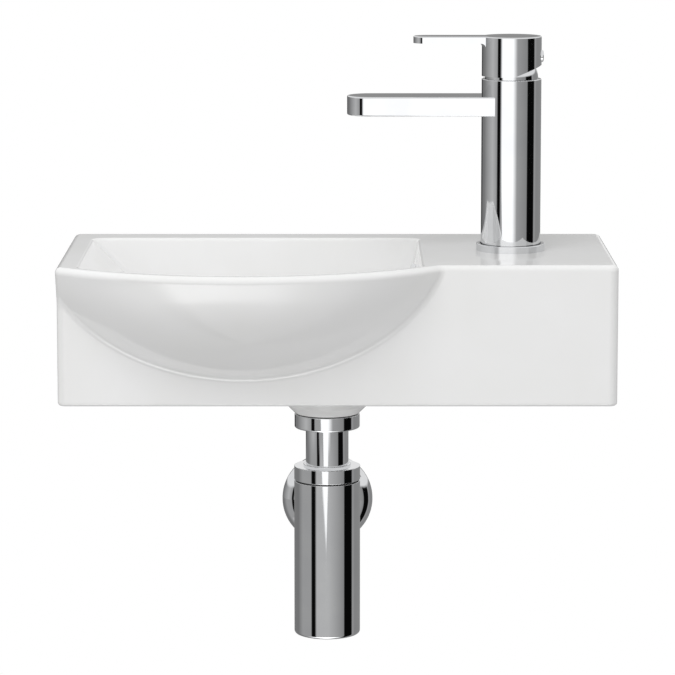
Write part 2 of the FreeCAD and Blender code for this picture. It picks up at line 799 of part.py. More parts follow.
def rosette_skin(radius, depth, edge, hole):
    """Half section of the dished cover: flat edge, round shoulder, collar at the tube."""
    rise = depth - edge
    shoulder = Vector(waste_x + radius - rise * rosette_bulge, -edge - rise * rosette_swell, outlet_z)
    collar = Vector(waste_x + hole + rosette_collar, -depth, outlet_z)
    rim = Vector(waste_x + radius, -edge, outlet_z)
    inner = Vector(waste_x + hole, -depth, outlet_z)
    foot = Vector(waste_x + hole, 0, outlet_z)
    outer = Vector(waste_x + radius, 0, outlet_z)
    edges = [
        Part.makeLine(foot, inner),
        Part.makeLine(inner, collar),
        Part.Arc(collar, shoulder, rim).toShape(),
        Part.makeLine(rim, outer),
        Part.makeLine(outer, foot),
    ]
    return Part.Face(Part.Wire(edges)).revolve(Vector(waste_x, 0, outlet_z), Vector(0, 1, 0), 360)


def wall_rosette():
    hole = tube_radius + fitted
    outer = rosette_skin(rosette_radius, rosette_depth, rosette_edge, hole)
    inner = rosette_skin(rosette_radius - rosette_sheet, rosette_depth - rosette_sheet, rosette_edge, hole)
    return outer.cut(inner)


# --- tap -----------------------------------------------------------------------------------
def tap_rod(low_z, high_z, radius):
    return rod(tap_x, tap_y, low_z, high_z, radius)


def tap_sleeve(low_z, high_z, outer_radius, inner_radius):
    return sleeve(tap_x, tap_y, low_z, high_z, outer_radius, inner_radius)


def base_ring():
    """Trim ring on the deck that the tap's tube stands in, grooved below for its seal."""
    top = deck_z + base_ring_height
    ring = softened(tap_rod(deck_z, top, base_ring_radius), top, base_ring_radius, base_ring_round)
    ring = ring.cut(tap_rod(tap_foot_z, top, tap_radius + base_ring_gap))
    ring = ring.cut(tap_rod(deck_z, tap_foot_z, tap_hole_radius - base_ring_overlap))
    outer = base_ring_radius - base_seal_inset + fitted
    inner = tap_hole_radius + base_seal_from_hole - fitted
    return ring.cut(tap_sleeve(deck_z, deck_z + base_seal, outer, inner))


def base_seal_ring():
    outer = base_ring_radius - base_seal_inset
    return tap_sleeve(deck_z, deck_z + base_seal, outer, tap_hole_radius + base_seal_from_hole)


def tap_body():
    """Tube and spout of the tap as one shell, open inside for the valve block."""
    high = spout_z + spout_thickness
    spout = slot_plan(spout_tip_x, tap_x, tap_y, spout_width, spout_z, high)
    rims = [e for e in spout.Edges if e.BoundBox.ZLength < touch and e.BoundBox.XMin < tap_x - touch]
    spout = spout.makeFillet(spout_round, rims)
    column = tap_rod(tap_foot_z, tap_top_z, tap_radius)
    column = softened(column, tap_top_z, tap_radius, tap_top_round)
    body = column.fuse(spout)
    channel = slot_plan(
        spout_tip_x + spout_wall, tap_x, tap_y, spout_width - 2 * spout_wall, spout_z + spout_wall,
        high - spout_wall,
    )
    mouth = rod(aerator_x, tap_y, spout_z, spout_z + spout_wall, aerator_radius + fitted)
    body = body.cut(tap_rod(tap_foot_z, tap_top_z, tap_radius - tap_shell))
    return body.cut(channel).cut(mouth)


def aerator_housing():
    high = aerator_z + aerator_length
    return sleeve(aerator_x, tap_y, aerator_z, high, aerator_radius, aerator_radius - aerator_wall)


def aerator_insert():
    """The jet plate: a disc with a hexagon of small round holes."""
    low = aerator_z + insert_recess
    radius = aerator_radius - aerator_wall - fitted
    plate = rod(aerator_x, tap_y, low, low + aerator_length - 2 * insert_recess, radius)
    holes = []
    rows = math.ceil(radius / aerator_hole_pitch)
    for row in range(-rows, rows + 1):
        for column in range(-2 * rows, 2 * rows + 1):
            x = (column + row / 2) * aerator_hole_pitch
            y = row * aerator_hole_pitch * math.sqrt(3) / 2
            if math.hypot(x, y) < radius - 2 * aerator_hole_radius:
                holes.append(rod(aerator_x + x, tap_y + y, low, low + aerator_length, aerator_hole_radius))
    return plate.cut(Part.makeCompound(holes))


def valve_block():
    """Brass core inside the tube: foot with the ports, stem with the passages, cup for the cartridge."""
    cup_radius = cartridge_radius + fitted + block_cup_wall
    body = tap_rod(tap_foot_z, tap_foot_z + block_foot_height, block_radius)
    body = body.fuse(tap_rod(tap_foot_z, cartridge_z, block_stem_radius))
    body = body.fuse(tap_rod(cartridge_z - cup_foot_below_seat, block_top_z, cup_radius))
    body = body.fuse(tap_rod(block_top_z - block_flange_height, block_top_z, block_radius)).removeSplitter()
    body = body.cut(tap_rod(cartridge_z, block_top_z, cartridge_radius + fitted))
    for side in (-1, 1):
        y = tap_y + side * port_side
        body = body.cut(rod(tap_x - port_ahead, y, tap_foot_z, tap_foot_z + port_depth, port_radius))
        y = tap_y + side * passage_side
        low = tap_foot_z + port_depth / 2
        body = body.cut(rod(tap_x - passage_ahead, y, low, cartridge_z, passage_radius))
    out_x = tap_x + outlet_passage_back
    cross_z = cartridge_z - outlet_cross_below_seat
    body = body.cut(rod(out_x, tap_y, cross_z, cartridge_z, outlet_passage_radius))
    cross = rod_along(Vector(1, 0, 0), Vector(out_x, tap_y, cross_z), block_radius, outlet_passage_radius)
    body = body.cut(cross)
    body = body.cut(rod(tap_x + stud_back, tap_y, tap_foot_z, tap_foot_z + stud_depth, stud_radius + fitted))
    for low in seal_heights():
        body = body.cut(tap_sleeve(low, low + seal_height, block_radius, block_radius - seal_groove))
    return body


def seal_heights():
    foot = tap_foot_z + block_foot_height / 2
    head = block_top_z - block_flange_height / 2
    return [foot - seal_height / 2, head - seal_height / 2]


def valve_seals():
    rings = []
    for low in seal_heights():
        rings.append(tap_sleeve(low, low + seal_height, tap_radius - tap_shell, block_radius - seal_groove))
    return Part.makeCompound(rings)


def cartridge():
    """Plastic housing of the ceramic valve, with three holes in its floor."""
    lid = cartridge_top_z - cartridge_lid
    body = tap_rod(cartridge_z, cartridge_top_z, cartridge_radius)
    body = body.cut(tap_rod(fixed_disc_z, lid, cartridge_radius - cartridge_wall))
    body = body.cut(tap_rod(lid, cartridge_top_z, rotor_radius + sliding))
    return body.cut(passages(cartridge_z, fixed_disc_z))


def passages(low_z, high_z):
    holes = [rod(tap_x + outlet_passage_back, tap_y, low_z, high_z, outlet_passage_radius)]
    for side in (-1, 1):
        y = tap_y + side * passage_side
        holes.append(rod(tap_x - passage_ahead, y, low_z, high_z, passage_radius))
    return Part.makeCompound(holes)


def fixed_disc():
    disc = tap_rod(fixed_disc_z, moving_disc_z, cartridge_radius - cartridge_wall - fitted)
    return disc.cut(passages(fixed_disc_z, moving_disc_z))


def moving_disc():
    """The upper disc with its carrier; the spindle's ball works in the pocket on top."""
    low = moving_disc_z
    body = tap_rod(low, carrier_top_z, carrier_radius)
    body = body.fuse(tap_rod(low, low + disc_thickness, moving_disc_radius)).removeSplitter()
    half = disc_recess_side / 2
    body = body.cut(
        block(
            tap_x - disc_recess_ahead, tap_x + disc_recess_back, tap_y - half, tap_y + half, low,
            low + disc_recess,
        )
    )
    return body.cut(tap_rod(carrier_top_z - pocket_depth, carrier_top_z, pocket_radius))


def cartridge_rotor():
    """Turns in the cartridge's lid and holds the pivot pin; the slot lets the spindle tilt."""
    top = pivot_z + rotor_above_pivot
    body = tap_rod(rotor_z, rotor_z + rotor_flange, rotor_flange_radius)
    body = body.fuse(tap_rod(rotor_z, top, rotor_radius)).removeSplitter()
    half = spindle_side / 2 + sliding
    slot = block(tap_x - rotor_slot, tap_x + rotor_slot, tap_y - half, tap_y + half, rotor_z, top)
    return body.cut(slot).cut(pivot_rod(rotor_radius, pivot_pin_radius))


def pivot_rod(half, radius):
    return rod_along(Vector(0, 1, 0), Vector(tap_x, tap_y - half, pivot_z), 2 * half, radius)


def pivot_pin():
    return pivot_rod(rotor_radius - pin_below_face, pivot_pin_radius)


def lever_spindle():
    """Square bar from the handle through the pivot to a ball in the disc carrier."""
    half = spindle_side / 2
    low = pivot_z - spindle_below_pivot
    bar = block(tap_x - half, tap_x + half, tap_y - half, tap_y + half, low, handle_top_z - spindle_cover)
    bar = bar.fuse(tap_rod(ball_z, low, spindle_neck))
    bar = bar.fuse(Part.makeSphere(spindle_ball, Vector(tap_x, tap_y, ball_z)))
    return bar.cut(pivot_rod(spindle_side, pivot_pin_radius + running))


def cartridge_nut():
    high = cartridge_top_z + cartridge_nut_height
    return tap_sleeve(cartridge_top_z, high, cartridge_radius, rotor_radius + loose)


def dome_cover():
    """Round cover over the cartridge, turned about the lever's pivot, open at the top."""
    centre = Vector(tap_x, tap_y, pivot_z)
    ball = Part.makeSphere(dome_radius, centre).cut(Part.makeSphere(dome_radius - dome_sheet, centre))
    top = pivot_z + dome_radius
    ball = ball.common(tap_rod(block_top_z, top, 2 * dome_radius))
    return ball.cut(tap_rod(block_top_z, top, dome_opening))


def handle():
    """Cap and lever in one piece, hollow below, with a square socket for the spindle."""
    lever_z = handle_top_z - lever_thickness
    roof_z = handle_top_z - handle_roof
    lever = slot_plan(tap_x - lever_reach, tap_x, tap_y, lever_width, lever_z, handle_top_z)
    body = tap_rod(handle_z, handle_top_z, tap_radius).fuse(lever).removeSplitter()
    under = []
    for edge in body.Edges:
        box = edge.BoundBox
        if box.ZLength < touch and abs(box.ZMin - lever_z) < touch and box.XMin > tap_x - tap_radius - touch:
            under.append(edge)
    body = body.makeFillet(lever_fillet, under)
    top_edges = [e for e in body.Edges if e.BoundBox.ZMin > handle_top_z - touch]
    body = body.makeFillet(handle_round, top_edges)
    body = body.cut(tap_rod(handle_z, roof_z, tap_radius - handle_wall))
    body = body.fuse(tap_rod(hub_z, roof_z, handle_hub_radius)).removeSplitter()
    half = spindle_side / 2 + running
    top = handle_top_z - spindle_cover + sliding
    body = body.cut(block(tap_x - half, tap_x + half, tap_y - half, tap_y + half, hub_z, top))
    body = body.cut(index_rod(handle_hub_radius + touch, 2 * tap_radius, index_shank + fitted))
    body = body.cut(index_rod(0, handle_hub_radius + touch, grub_radius + running))
    return body.cut(handle_cut())


def index_rod(start, end, radius):
    """A rod through the back of the cap, from start to end away from the tap's axis."""
    return rod_along(Vector(1, 0, 0), Vector(tap_x + start, tap_y, index_z), end - start, radius)


def handle_cut():
    """Wedge off the back of the cap's lower edge."""
    reach = 2 * tap_radius
    rise = reach * math.tan(math.radians(handle_cut_slope))
    points = [
        Vector(tap_x, tap_y - reach, handle_z),
        Vector(tap_x + reach, tap_y - reach, handle_z + rise),
        Vector(tap_x + reach, tap_y - reach, handle_z),
    ]
    return Part.Face(Part.makePolygon(points + [points[0]])).extrude(Vector(0, 2 * reach, 0))


def handle_grub_screw():
    start = spindle_side / 2 + running
    screw = index_rod(start, start + grub_length, grub_radius)
    return screw.cut(index_rod(start + grub_length / 2, start + grub_length, grub_socket))


def index_button():
    """Small button in the back of the cap, over the grub screw's hole."""
    face = tap_radius + index_proud
    button = index_rod(tap_radius - index_proud, face, index_radius)
    outer = [e for e in button.Edges if e.BoundBox.XMin > tap_x + face - touch]
    button = button.makeFillet(index_round, outer)
    button = button.cut(tap_rod(index_z - 2 * index_radius, index_z + 2 * index_radius, tap_radius))
    shank = index_rod(tap_radius - handle_wall, face - index_proud / 2, index_shank)
    return button.fuse(shank).removeSplitter()


# --- tap fixing below the deck -------------------------------------------------------------
def stud_rod(low_z, high_z, radius):
    return rod(tap_x + stud_back, tap_y, low_z, high_z, radius)


def fixing_stud():
    return stud_rod(deck_z - stud_length, tap_foot_z + stud_depth, stud_radius)


def horseshoe(low_z, thickness, radius):
    """A round plate with an open slot for the supply hoses and a hole for the stud."""
    high_z = low_z + thickness
    half = horseshoe_slot / 2
    end_x = tap_x + horseshoe_slot_back
    plate = tap_rod(low_z, high_z, radius)
    plate = plate.cut(block(tap_x - 2 * radius, end_x, tap_y - half, tap_y + half, low_z, high_z))
    return plate.cut(stud_rod(low_z, high_z, stud_radius + fitted))


def under_deck_seal():
    return horseshoe(plate_z + horseshoe_steel, horseshoe_rubber, horseshoe_radius)


def under_deck_plate():
    return horseshoe(plate_z, horseshoe_steel, horseshoe_radius - horseshoe_inset)


def stud_nut():
    low = plate_z - stud_nut_height
    nut = hexagon(tap_x + stud_back, tap_y, low, stud_nut_height, stud_nut_flats)
    return nut.cut(stud_rod(low, plate_z, stud_radius + fitted))


pieces = {
    "basin": basin,
    "overflow_ring": overflow_ring,
    "hanger_bolts": lambda: each_fixing(hanger_bolt),
    "fixing_sleeves": lambda: each_fixing(fixing_sleeve),
    "fixing_washers": lambda: each_fixing(fixing_washer_ring),
    "fixing_nuts": lambda: each_fixing(fixing_nut),
    "waste_body": waste_body,
    "waste_top_seal": waste_top_seal,
    "click_cartridge": click_cartridge,
    "plug_spring": plug_spring,
    "plug_stem": plug_stem,
    "waste_plug": waste_plug,
    "plug_seal": plug_seal_ring,
    "boss_joint_ring": boss_joint_ring,
    "inlet_nut": inlet_nut,
    "inlet_seal": inlet_seal_ring,
    "dip_tube": dip_tube,
    "trap_cap": trap_cap,
    "tube_seal": tube_seal,
    "seam_ring": seam_ring,
    "trap_body": trap_body,
    "outlet_seal": outlet_seal_ring,
    "outlet_nut": outlet_nut,
    "outlet_tube": outlet_tube,
    "wall_rosette": wall_rosette,
    "tap_base_ring": base_ring,
    "tap_base_seal": base_seal_ring,
    "tap_body": tap_body,
    "aerator_housing": aerator_housing,
    "aerator_insert": aerator_insert,
    "valve_block": valve_block,
    "valve_seals": valve_seals,
    "cartridge": cartridge,
    "fixed_disc": fixed_disc,
    "moving_disc": moving_disc,
    "cartridge_rotor": cartridge_rotor,
    "pivot_pin": pivot_pin,
    "lever_spindle": lever_spindle,
    "cartridge_nut": cartridge_nut,
    "dome_cover": dome_cover,
    "handle": handle,
    "handle_grub_screw": handle_grub_screw,
    "index_button": index_button,
    "fixing_stud": fixing_stud,
    "under_deck_seal": under_deck_seal,
    "under_deck_plate": under_deck_plate,
    "stud_nut": stud_nut,
}

for node, make in pieces.items():
    save(make(), node)
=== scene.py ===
import math

import bpy
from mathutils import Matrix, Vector


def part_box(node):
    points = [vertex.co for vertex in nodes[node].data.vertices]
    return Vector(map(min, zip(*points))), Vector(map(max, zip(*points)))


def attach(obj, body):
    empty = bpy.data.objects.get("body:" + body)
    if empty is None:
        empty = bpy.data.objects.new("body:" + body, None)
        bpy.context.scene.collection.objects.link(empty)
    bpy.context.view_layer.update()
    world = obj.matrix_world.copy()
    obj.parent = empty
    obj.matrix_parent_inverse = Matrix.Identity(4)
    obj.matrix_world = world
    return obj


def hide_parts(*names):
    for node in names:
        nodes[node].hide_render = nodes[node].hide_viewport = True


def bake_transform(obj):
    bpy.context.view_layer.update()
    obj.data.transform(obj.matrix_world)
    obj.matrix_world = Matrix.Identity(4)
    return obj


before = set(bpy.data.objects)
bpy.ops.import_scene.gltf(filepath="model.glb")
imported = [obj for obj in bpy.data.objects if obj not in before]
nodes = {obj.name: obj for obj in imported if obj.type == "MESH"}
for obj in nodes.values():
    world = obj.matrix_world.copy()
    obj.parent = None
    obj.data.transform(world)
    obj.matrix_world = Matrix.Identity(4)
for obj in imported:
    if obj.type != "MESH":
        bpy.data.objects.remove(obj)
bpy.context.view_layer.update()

# ---------------------------------------------------------------------------------------------
# Camera. A long lens 2.6 m out in the room, a little above the tap and tilted down eight degrees,
# as the photographer stood. The frame is square.
camera_tilt = 7.99                  # degrees below level
camera_data = bpy.data.cameras.new("room_camera")
camera_data.sensor_width = 36.0
camera_data.lens = 181.5
camera_data.shift_y = -0.1
camera = bpy.data.objects.new("room_camera", camera_data)
camera.location = (0.0, -2.5715, 0.4107)
camera.rotation_euler = (math.radians(90 - camera_tilt), 0, 0)
bpy.context.scene.collection.objects.link(camera)
bpy.context.scene.camera = camera


# ---------------------------------------------------------------------------------------------
# Photographer's tent. The room is even white to the eye and gives level light. Polished surfaces
# mirror the tent instead: tall white screens with dark gaps between them, which give chrome its
# stripes, a pale ceiling, and a bright sheet low in front, which rounds the glazed bowl.
def linear(hex_colour):
    """A colour written as sRGB hex, in the linear values that shaders take."""
    parts = [int(hex_colour[i:i + 2], 16) / 255 for i in (1, 3, 5)]
    return [c / 12.92 if c <= 0.04045 else ((c + 0.055) / 1.055) ** 2.4 for c in parts] + [1.0]


def add(tree, kind, inputs=None, joined=(), **settings):
    """Adds one node. inputs maps a socket's name or number to a value or to another node's output.
    joined lists outputs that all go into the first socket."""
    node = tree.nodes.new(kind)
    for name, value in settings.items():
        setattr(node, name, value)
    for name, value in (inputs or {}).items():
        if isinstance(value, bpy.types.NodeSocket):
            tree.links.new(value, node.inputs[name])
        else:
            node.inputs[name].default_value = value
    for output in joined:
        tree.links.new(output, node.inputs[0])
    return node


def stripes(tree, turn, bands):
    """Greys round the room: (degrees from the camera, clockwise seen from below, hex)."""
    share = add(tree, "ShaderNodeMapRange", {
        "Value": turn, "From Min": -math.pi, "From Max": math.pi,
    })
    greys = add(tree, "ShaderNodeValToRGB", {"Fac": share.outputs[0]})
    points = greys.color_ramp.elements
    while len(points) < len(bands):
        points.new(0.5)
    for point, (degrees, colour) in zip(points, bands):
        point.position = (degrees + 180) / 360
    for point, (degrees, colour) in zip(points, bands):
        point.color = linear(colour)
    return greys.outputs["Color"]


def patch(tree, *edges):
    """1 inside a patch of the tent and 0 outside it. Each edge is a number of the direction with
    its values just outside and fully inside."""
    share = None
    for value, outside, inside in edges:
        edge = add(tree, "ShaderNodeMapRange", {
            "Value": value, "From Min": outside, "From Max": inside,
        }).outputs[0]
        if share is not None:
            both = add(tree, "ShaderNodeMath", {0: share, 1: edge}, operation="MULTIPLY")
            edge = both.outputs[0]
        share = edge
    return share


world = bpy.data.worlds.new("photo_tent")
bpy.context.scene.world = world
world.use_nodes = True
sky = world.node_tree
sky.nodes.clear()
look = add(sky, "ShaderNodeTexCoord").outputs["Object"]
axis = add(sky, "ShaderNodeSeparateXYZ", {0: look}).outputs
toward = add(sky, "ShaderNodeMath", {0: axis["Y"], 1: -1.0}, operation="MULTIPLY").outputs[0]
turn = add(sky, "ShaderNodeMath", {0: axis["X"], 1: toward}, operation="ARCTAN2").outputs[0]
height = axis["Z"]                  # from -1 straight down to 1 straight up


def around(outside, inside):
    """A patch's edge in degrees round the room from the camera."""
    return turn, math.radians(outside), math.radians(inside)


# Grey walls stand all round, with a wide white screen in front, a black flag on either side of it
# and a dim doorway behind on the left. Below the screen's foot the wall shows.
dim_wall, mid_wall, wall, pale_wall = "#707070", "#808080", "#949494", "#acacac"
white_screen, black_flag, doorway = "#ffffff", "#080808", "#404040"
screens = stripes(sky, turn, [
    (-180, mid_wall), (-172, mid_wall), (-166, doorway), (-150, doorway), (-144, dim_wall),
    (-130, dim_wall), (-80, pale_wall), (-59, wall), (-57, black_flag), (-46, black_flag),
    (-38, white_screen), (4, white_screen), (20, wall), (60, mid_wall), (63, black_flag),
    (94, black_flag), (98, wall), (110, mid_wall), (180, mid_wall),
])
below_screens = stripes(sky, turn, [
    (-180, dim_wall), (-120, dim_wall), (-95, wall), (-59, wall), (-55, black_flag),
    (-43, black_flag), (-37, pale_wall), (5, pale_wall), (61, mid_wall), (63, black_flag),
    (95, black_flag), (100, wall), (112, mid_wall), (180, mid_wall),
])

# The screen's left edge leans in towards its foot, and the wall shows beside it.
screen_lean = 4.486                 # radians round the room for each unit of height
lean = add(
    sky, "ShaderNodeMath", {0: height, 1: screen_lean, 2: turn}, operation="MULTIPLY_ADD",
).outputs[0]
screens = add(sky, "ShaderNodeMixRGB", {
    "Fac": patch(sky, (lean, -1.192, -1.222), around(-44, -42)), "Color1": screens,
    "Color2": linear(wall),
}).outputs[0]

# Its foot runs down to a point, which gives the trap the tapered end of its highlight.
tip_length = 0.029                  # of height
tip_left = add(sky, "ShaderNodeMapRange", {
    "Value": turn, "From Min": math.radians(-25), "From Max": math.radians(-3),
    "To Min": tip_length, "To Max": 0.0,
})
tip_right = add(sky, "ShaderNodeMapRange", {
    "Value": turn, "From Min": math.radians(-3), "From Max": math.radians(7),
    "To Min": 0.0, "To Max": tip_length,
})
taper = add(
    sky, "ShaderNodeMath", {0: tip_left.outputs[0], 1: tip_right.outputs[0]}, operation="ADD",
).outputs[0]
above_tip = add(sky, "ShaderNodeMath", {0: height, 1: taper}, operation="SUBTRACT").outputs[0]
tent = add(sky, "ShaderNodeMixRGB", {
    "Fac": patch(sky, (above_tip, -0.222, -0.216)), "Color1": below_screens, "Color2": screens,
}).outputs[0]

# A pale wall behind, mirrored by the bowl's left slope, the ceiling, and the low bright sheet.
back_wall = patch(
    sky, around(150, 158), (height, -0.02, 0.0), around(175.2, 174.4), (height, 0.122, 0.105),
)
ceiling = patch(sky, (height, 0.115, 0.19))
low_sheet = patch(
    sky, (height, -0.60, -0.68), (height, -1.0, -0.80), around(-95, -35), around(75, 15),
)
for share, colour in ((back_wall, "#d2d2d2"), (ceiling, "#d6d6d6"), (low_sheet, "#ffffff")):
    tent = add(sky, "ShaderNodeMixRGB", {
        "Fac": share, "Color1": tent, "Color2": linear(colour),
    }).outputs[0]

# The sheet is lit from behind, most of all along its upper edge.
tent_strength = 1.34
sheet_strength = 3.6
edge_gain = 1.4
sheet_edge = patch(
    sky, (height, -0.62, -0.66), (height, -0.85, -0.81), around(-46, -38), around(30, -15),
)
strength = add(sky, "ShaderNodeMapRange", {
    "Value": low_sheet, "From Min": 0.0, "From Max": 1.0,
    "To Min": tent_strength, "To Max": sheet_strength,
}).outputs[0]
strength = add(
    sky, "ShaderNodeMath", {0: sheet_edge, 1: edge_gain, 2: strength}, operation="MULTIPLY_ADD",
).outputs[0]

mirrored = add(sky, "ShaderNodeBackground", {"Color": tent, "Strength": strength})
level = add(sky, "ShaderNodeBackground", {"Color": linear("#f4f4f4"), "Strength": 0.80})
seen = add(sky, "ShaderNodeBackground", {"Color": linear("#ffffff"), "Strength": 1.0})
ray = add(sky, "ShaderNodeLightPath").outputs
surroundings = add(sky, "ShaderNodeMixShader", {
    0: ray["Is Glossy Ray"], 1: level.outputs[0], 2: mirrored.outputs[0],
})
surroundings = add(sky, "ShaderNodeMixShader", {
    0: ray["Is Camera Ray"], 1: surroundings.outputs[0], 2: seen.outputs[0],
})
add(sky, "ShaderNodeOutputWorld", {"Surface": surroundings.outputs[0]})

# ---------------------------------------------------------------------------------------------
# Floor. A wide sweep of board painted matt white, a metre below the basin. It throws soft light
# up under the bowl, and is plain white to the eye.
floor_reach = 9.0
floor_level = -0.95
corners = [(-1, -1), (1, -1), (1, 1), (-1, 1)]
floor_mesh = bpy.data.meshes.new("studio_floor")
floor_mesh.from_pydata(
    [(x * floor_reach, y * floor_reach, floor_level) for x, y in corners], [], [(0, 1, 2, 3)],
)
studio_floor = bpy.data.objects.new("studio_floor", floor_mesh)
bpy.context.scene.collection.objects.link(studio_floor)
studio_floor.visible_glossy = False
painted_floor = bpy.data.materials.new("white_painted_floor")
painted_floor.use_nodes = True
tree = painted_floor.node_tree
tree.nodes.clear()
paint = add(tree, "ShaderNodeBsdfDiffuse", {"Color": linear("#d6d6d6")})
plain_white = add(tree, "ShaderNodeEmission", {"Color": linear("#ffffff"), "Strength": 1.0})
ray = add(tree, "ShaderNodeLightPath").outputs
floor_look = add(tree, "ShaderNodeMixShader", {
    0: ray["Is Camera Ray"], 1: paint.outputs[0], 2: plain_white.outputs[0],
})
add(tree, "ShaderNodeOutputMaterial", {"Surface": floor_look.outputs[0]})
floor_mesh.materials.append(painted_floor)


# ---------------------------------------------------------------------------------------------
# Lamps. One large soft box overhead on the left shades the block and the bowl, and a weak one by
# the camera opens the shadows. Polished surfaces mirror the tent, not the lamps.
def lamp(name, size, watts, place, aim):
    """A rectangular soft light, its size, place and the spot it faces in metres."""
    light = bpy.data.lights.new(name, "AREA")
    light.shape = "RECTANGLE"
    light.size, light.size_y = size
    light.energy = watts
    stand = bpy.data.objects.new(name, light)
    stand.location = place
    away = Vector(place) - Vector(aim)
    stand.rotation_euler = away.to_track_quat("Z", "Y").to_euler()
    stand.visible_glossy = False
    bpy.context.scene.collection.objects.link(stand)


lamp("soft_box", (1.6, 1.1), 22.0, (-0.6, -1.5, 2.2), (0.0, -0.1, 0.05))
lamp("front_box", (1.2, 1.2), 4.0, (-0.5, -2.6, 0.1), (0.0, 0.0, 0.0))


# ---------------------------------------------------------------------------------------------
# Basin. Vitreous china, slip cast in one piece, dipped in white glaze and fired, and bare where
# the back meets the wall.
def noise(tree, size_mm, detail=2.0, stretch=(1, 1, 1)):
    """Noise on Object coordinates whose blotches are about size_mm across."""
    place = add(tree, "ShaderNodeTexCoord").outputs["Object"]
    scale = [1000 / size_mm * share for share in stretch]
    place = add(tree, "ShaderNodeMapping", {"Vector": place, "Scale": scale}).outputs[0]
    return add(tree, "ShaderNodeTexNoise", {
        "Vector": place, "Scale": 1.0, "Detail": detail,
    }).outputs["Fac"]


def surface(name, mottle, colours, roughness, relief_mm=0.0, relief=None, **sockets):
    """A material that wanders between two colours and two roughnesses. mottle and relief are the
    settings of a noise, and relief is the mottle's own unless given. sockets are the shader's."""
    material = bpy.data.materials.new(name)
    material.use_nodes = True
    tree = material.node_tree
    tree.nodes.clear()
    shades = noise(tree, *mottle)
    spread = {"Value": shades, "From Min": 0.3, "From Max": 0.7}    # most of a noise lies between
    share = add(tree, "ShaderNodeMapRange", spread)
    sockets["Base Color"] = add(tree, "ShaderNodeMixRGB", {
        "Fac": share.outputs[0], "Color1": linear(colours[0]), "Color2": linear(colours[1]),
    }).outputs[0]
    sockets["Roughness"] = add(tree, "ShaderNodeMapRange", {
        **spread, "To Min": roughness[0], "To Max": roughness[1],
    }).outputs[0]
    if relief_mm:
        raised = noise(tree, *relief) if relief else shades
        sockets["Normal"] = add(tree, "ShaderNodeBump", {
            "Height": raised, "Distance": relief_mm / 1000, "Strength": 1.0,
        }).outputs[0]
    shader = add(tree, "ShaderNodeBsdfPrincipled", sockets)
    add(tree, "ShaderNodeOutputMaterial", {"Surface": shader.outputs[0]})
    return material


def dress(material, *names):
    """Gives CAD nodes their finish."""
    for name in names:
        slots = nodes[name].data.materials
        slots.clear()
        slots.append(material)


# A clear glassy skin over an opaque white body, whose sharp pale reflections waver faintly where
# the glaze ran.
glaze = surface(
    "white_glazed_vitreous_china", (60,), ("#f1f1f0", "#f4f4f4"), (0.055, 0.085),
    relief_mm=0.012, relief=(7, 1.0), IOR=1.52,
)
dress(glaze, "basin")

# ---------------------------------------------------------------------------------------------
# Overflow ring. A turned brass ring plated with bright chrome. It is pushed into the overflow's
# hole in the bowl's right wall, and its flange hides the hole's edge.

# A nearly perfect grey mirror, with the faintest haze from wiping.
chrome_plate = surface(
    "polished_chrome_plate", (18, 3.0), ("#dedfe1", "#e3e4e5"), (0.018, 0.04), Metallic=1.0,
)
dress(chrome_plate, "overflow_ring")

# ---------------------------------------------------------------------------------------------
# Wall fixings. Two M10 hanger bolts of zinc plated steel with washers and nuts, each bolt in a
# white nylon sleeve that keeps the steel off the china. Their threads are cut for wall and nut.

# A cool silver with soft reflections, mottled by the plating.
zinc = surface(
    "bright_zinc_plated_steel", (3, 3.0), ("#b9bdc0", "#d2d3d1"), (0.22, 0.38), Metallic=1.0,
)
# A milky off-white with a dull sheen and the mould's fine grain.
nylon = surface(
    "moulded_white_nylon", (1.2, 2.0), ("#e4e3dd", "#ecebe6"), (0.42, 0.55),
    relief_mm=0.01, IOR=1.53,
)
dress(zinc, "hanger_bolts", "fixing_washers", "fixing_nuts")
dress(nylon, "fixing_sleeves")


